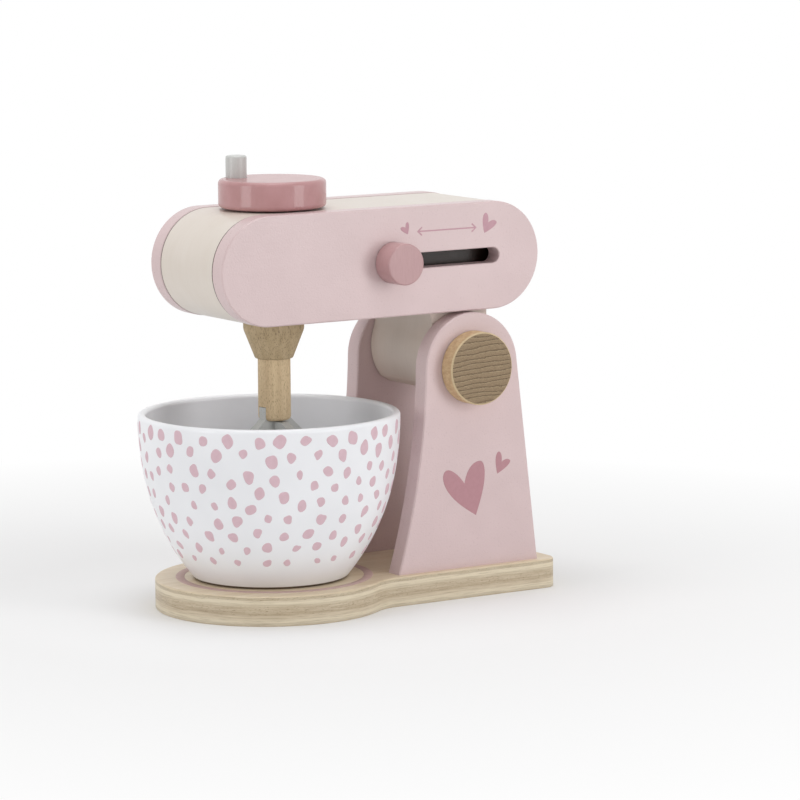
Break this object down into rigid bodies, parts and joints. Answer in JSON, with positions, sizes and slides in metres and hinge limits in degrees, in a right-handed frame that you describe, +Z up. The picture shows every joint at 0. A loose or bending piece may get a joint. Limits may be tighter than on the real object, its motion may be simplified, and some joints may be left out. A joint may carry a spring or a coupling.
{
  "type": "toy stand mixer",
  "caption": "Wooden toy stand mixer: plywood base, two cheeks, a tilting head with a side slider, a crank dial that turns a crossed-blade whisk, and a loose round bowl.",
  "frame": {"origin": "underside of the base board, on the axis of its round front and of the bowl", "axes": "+Z up, +X from the bowl towards the column, +Y away from the side that carries the slider"},
  "size_m": [0.2139, 0.1318, 0.2268],
  "materials": {
    "birch_plywood": "satin varnish over birch plies",
    "pink_paint": "satin pink paint on board",
    "cream_paint": "satin cream paint on solid wood",
    "rose_gloss": "gloss rose lacquer on turned wood",
    "rose_satin": "satin rose paint on turned wood",
    "bare_beech": "fine sanded, clear oiled beech",
    "hidden_beech": "raw beech dowel",
    "grey_paint": "satin light grey paint",
    "bowl_lacquer": "satin white lacquer with rose dots, grey inside",
    "zinc_steel": "zinc plated",
    "black_nylon": "moulded, matt"
  },
  "bodies": {
    "stand": {"base_board": "birch_plywood", "near_cheek": "pink_paint", "far_cheek": "pink_paint", "cheek_screws": "zinc_steel"},
    "head": {"neck_block": "cream_paint", "head_core": "cream_paint", "near_side_panel": "pink_paint", "far_side_panel": "pink_paint", "panel_dowels": "hidden_beech", "neck_dowels": "hidden_beech", "tilt_axle": "hidden_beech", "near_tilt_knob": "bare_beech", "far_tilt_knob": "bare_beech"},
    "crank": {"crank_dial": "rose_gloss", "crank_peg": "grey_paint", "dial_washer": "black_nylon", "drive_spindle": "hidden_beech", "whisk_collar": "bare_beech", "whisk_shaft": "bare_beech", "slotted_whisk_blade": "grey_paint", "crossing_whisk_blade": "grey_paint"},
    "slider": {"slider_knob": "rose_satin", "slider_stem": "hidden_beech", "slider_shoe": "hidden_beech"},
    "bowl": {"bowl": "bowl_lacquer"}
  },
  "joints": [
    {"name": "head_tilt", "type": "hinge", "parent": "stand", "child": "head", "pos_m": [0.0975, 0, 0.1176], "axis": [0, 1, 0], "range_deg": [0, 80]},
    {"name": "crank_turn", "type": "hinge", "parent": "head", "child": "crank", "pos_m": [0.0033, 0, 0.173], "axis": [0, 0, 1], "continuous": true},
    {"name": "slider_travel", "type": "slide", "parent": "head", "child": "slider", "axis": [1, 0, 0], "range_m": [0, 0.06]},
    {"name": "bowl_lift", "type": "slide", "parent": "stand", "child": "bowl", "axis": [0, 0, 1], "range_m": [0, 0.01]}
  ]
}
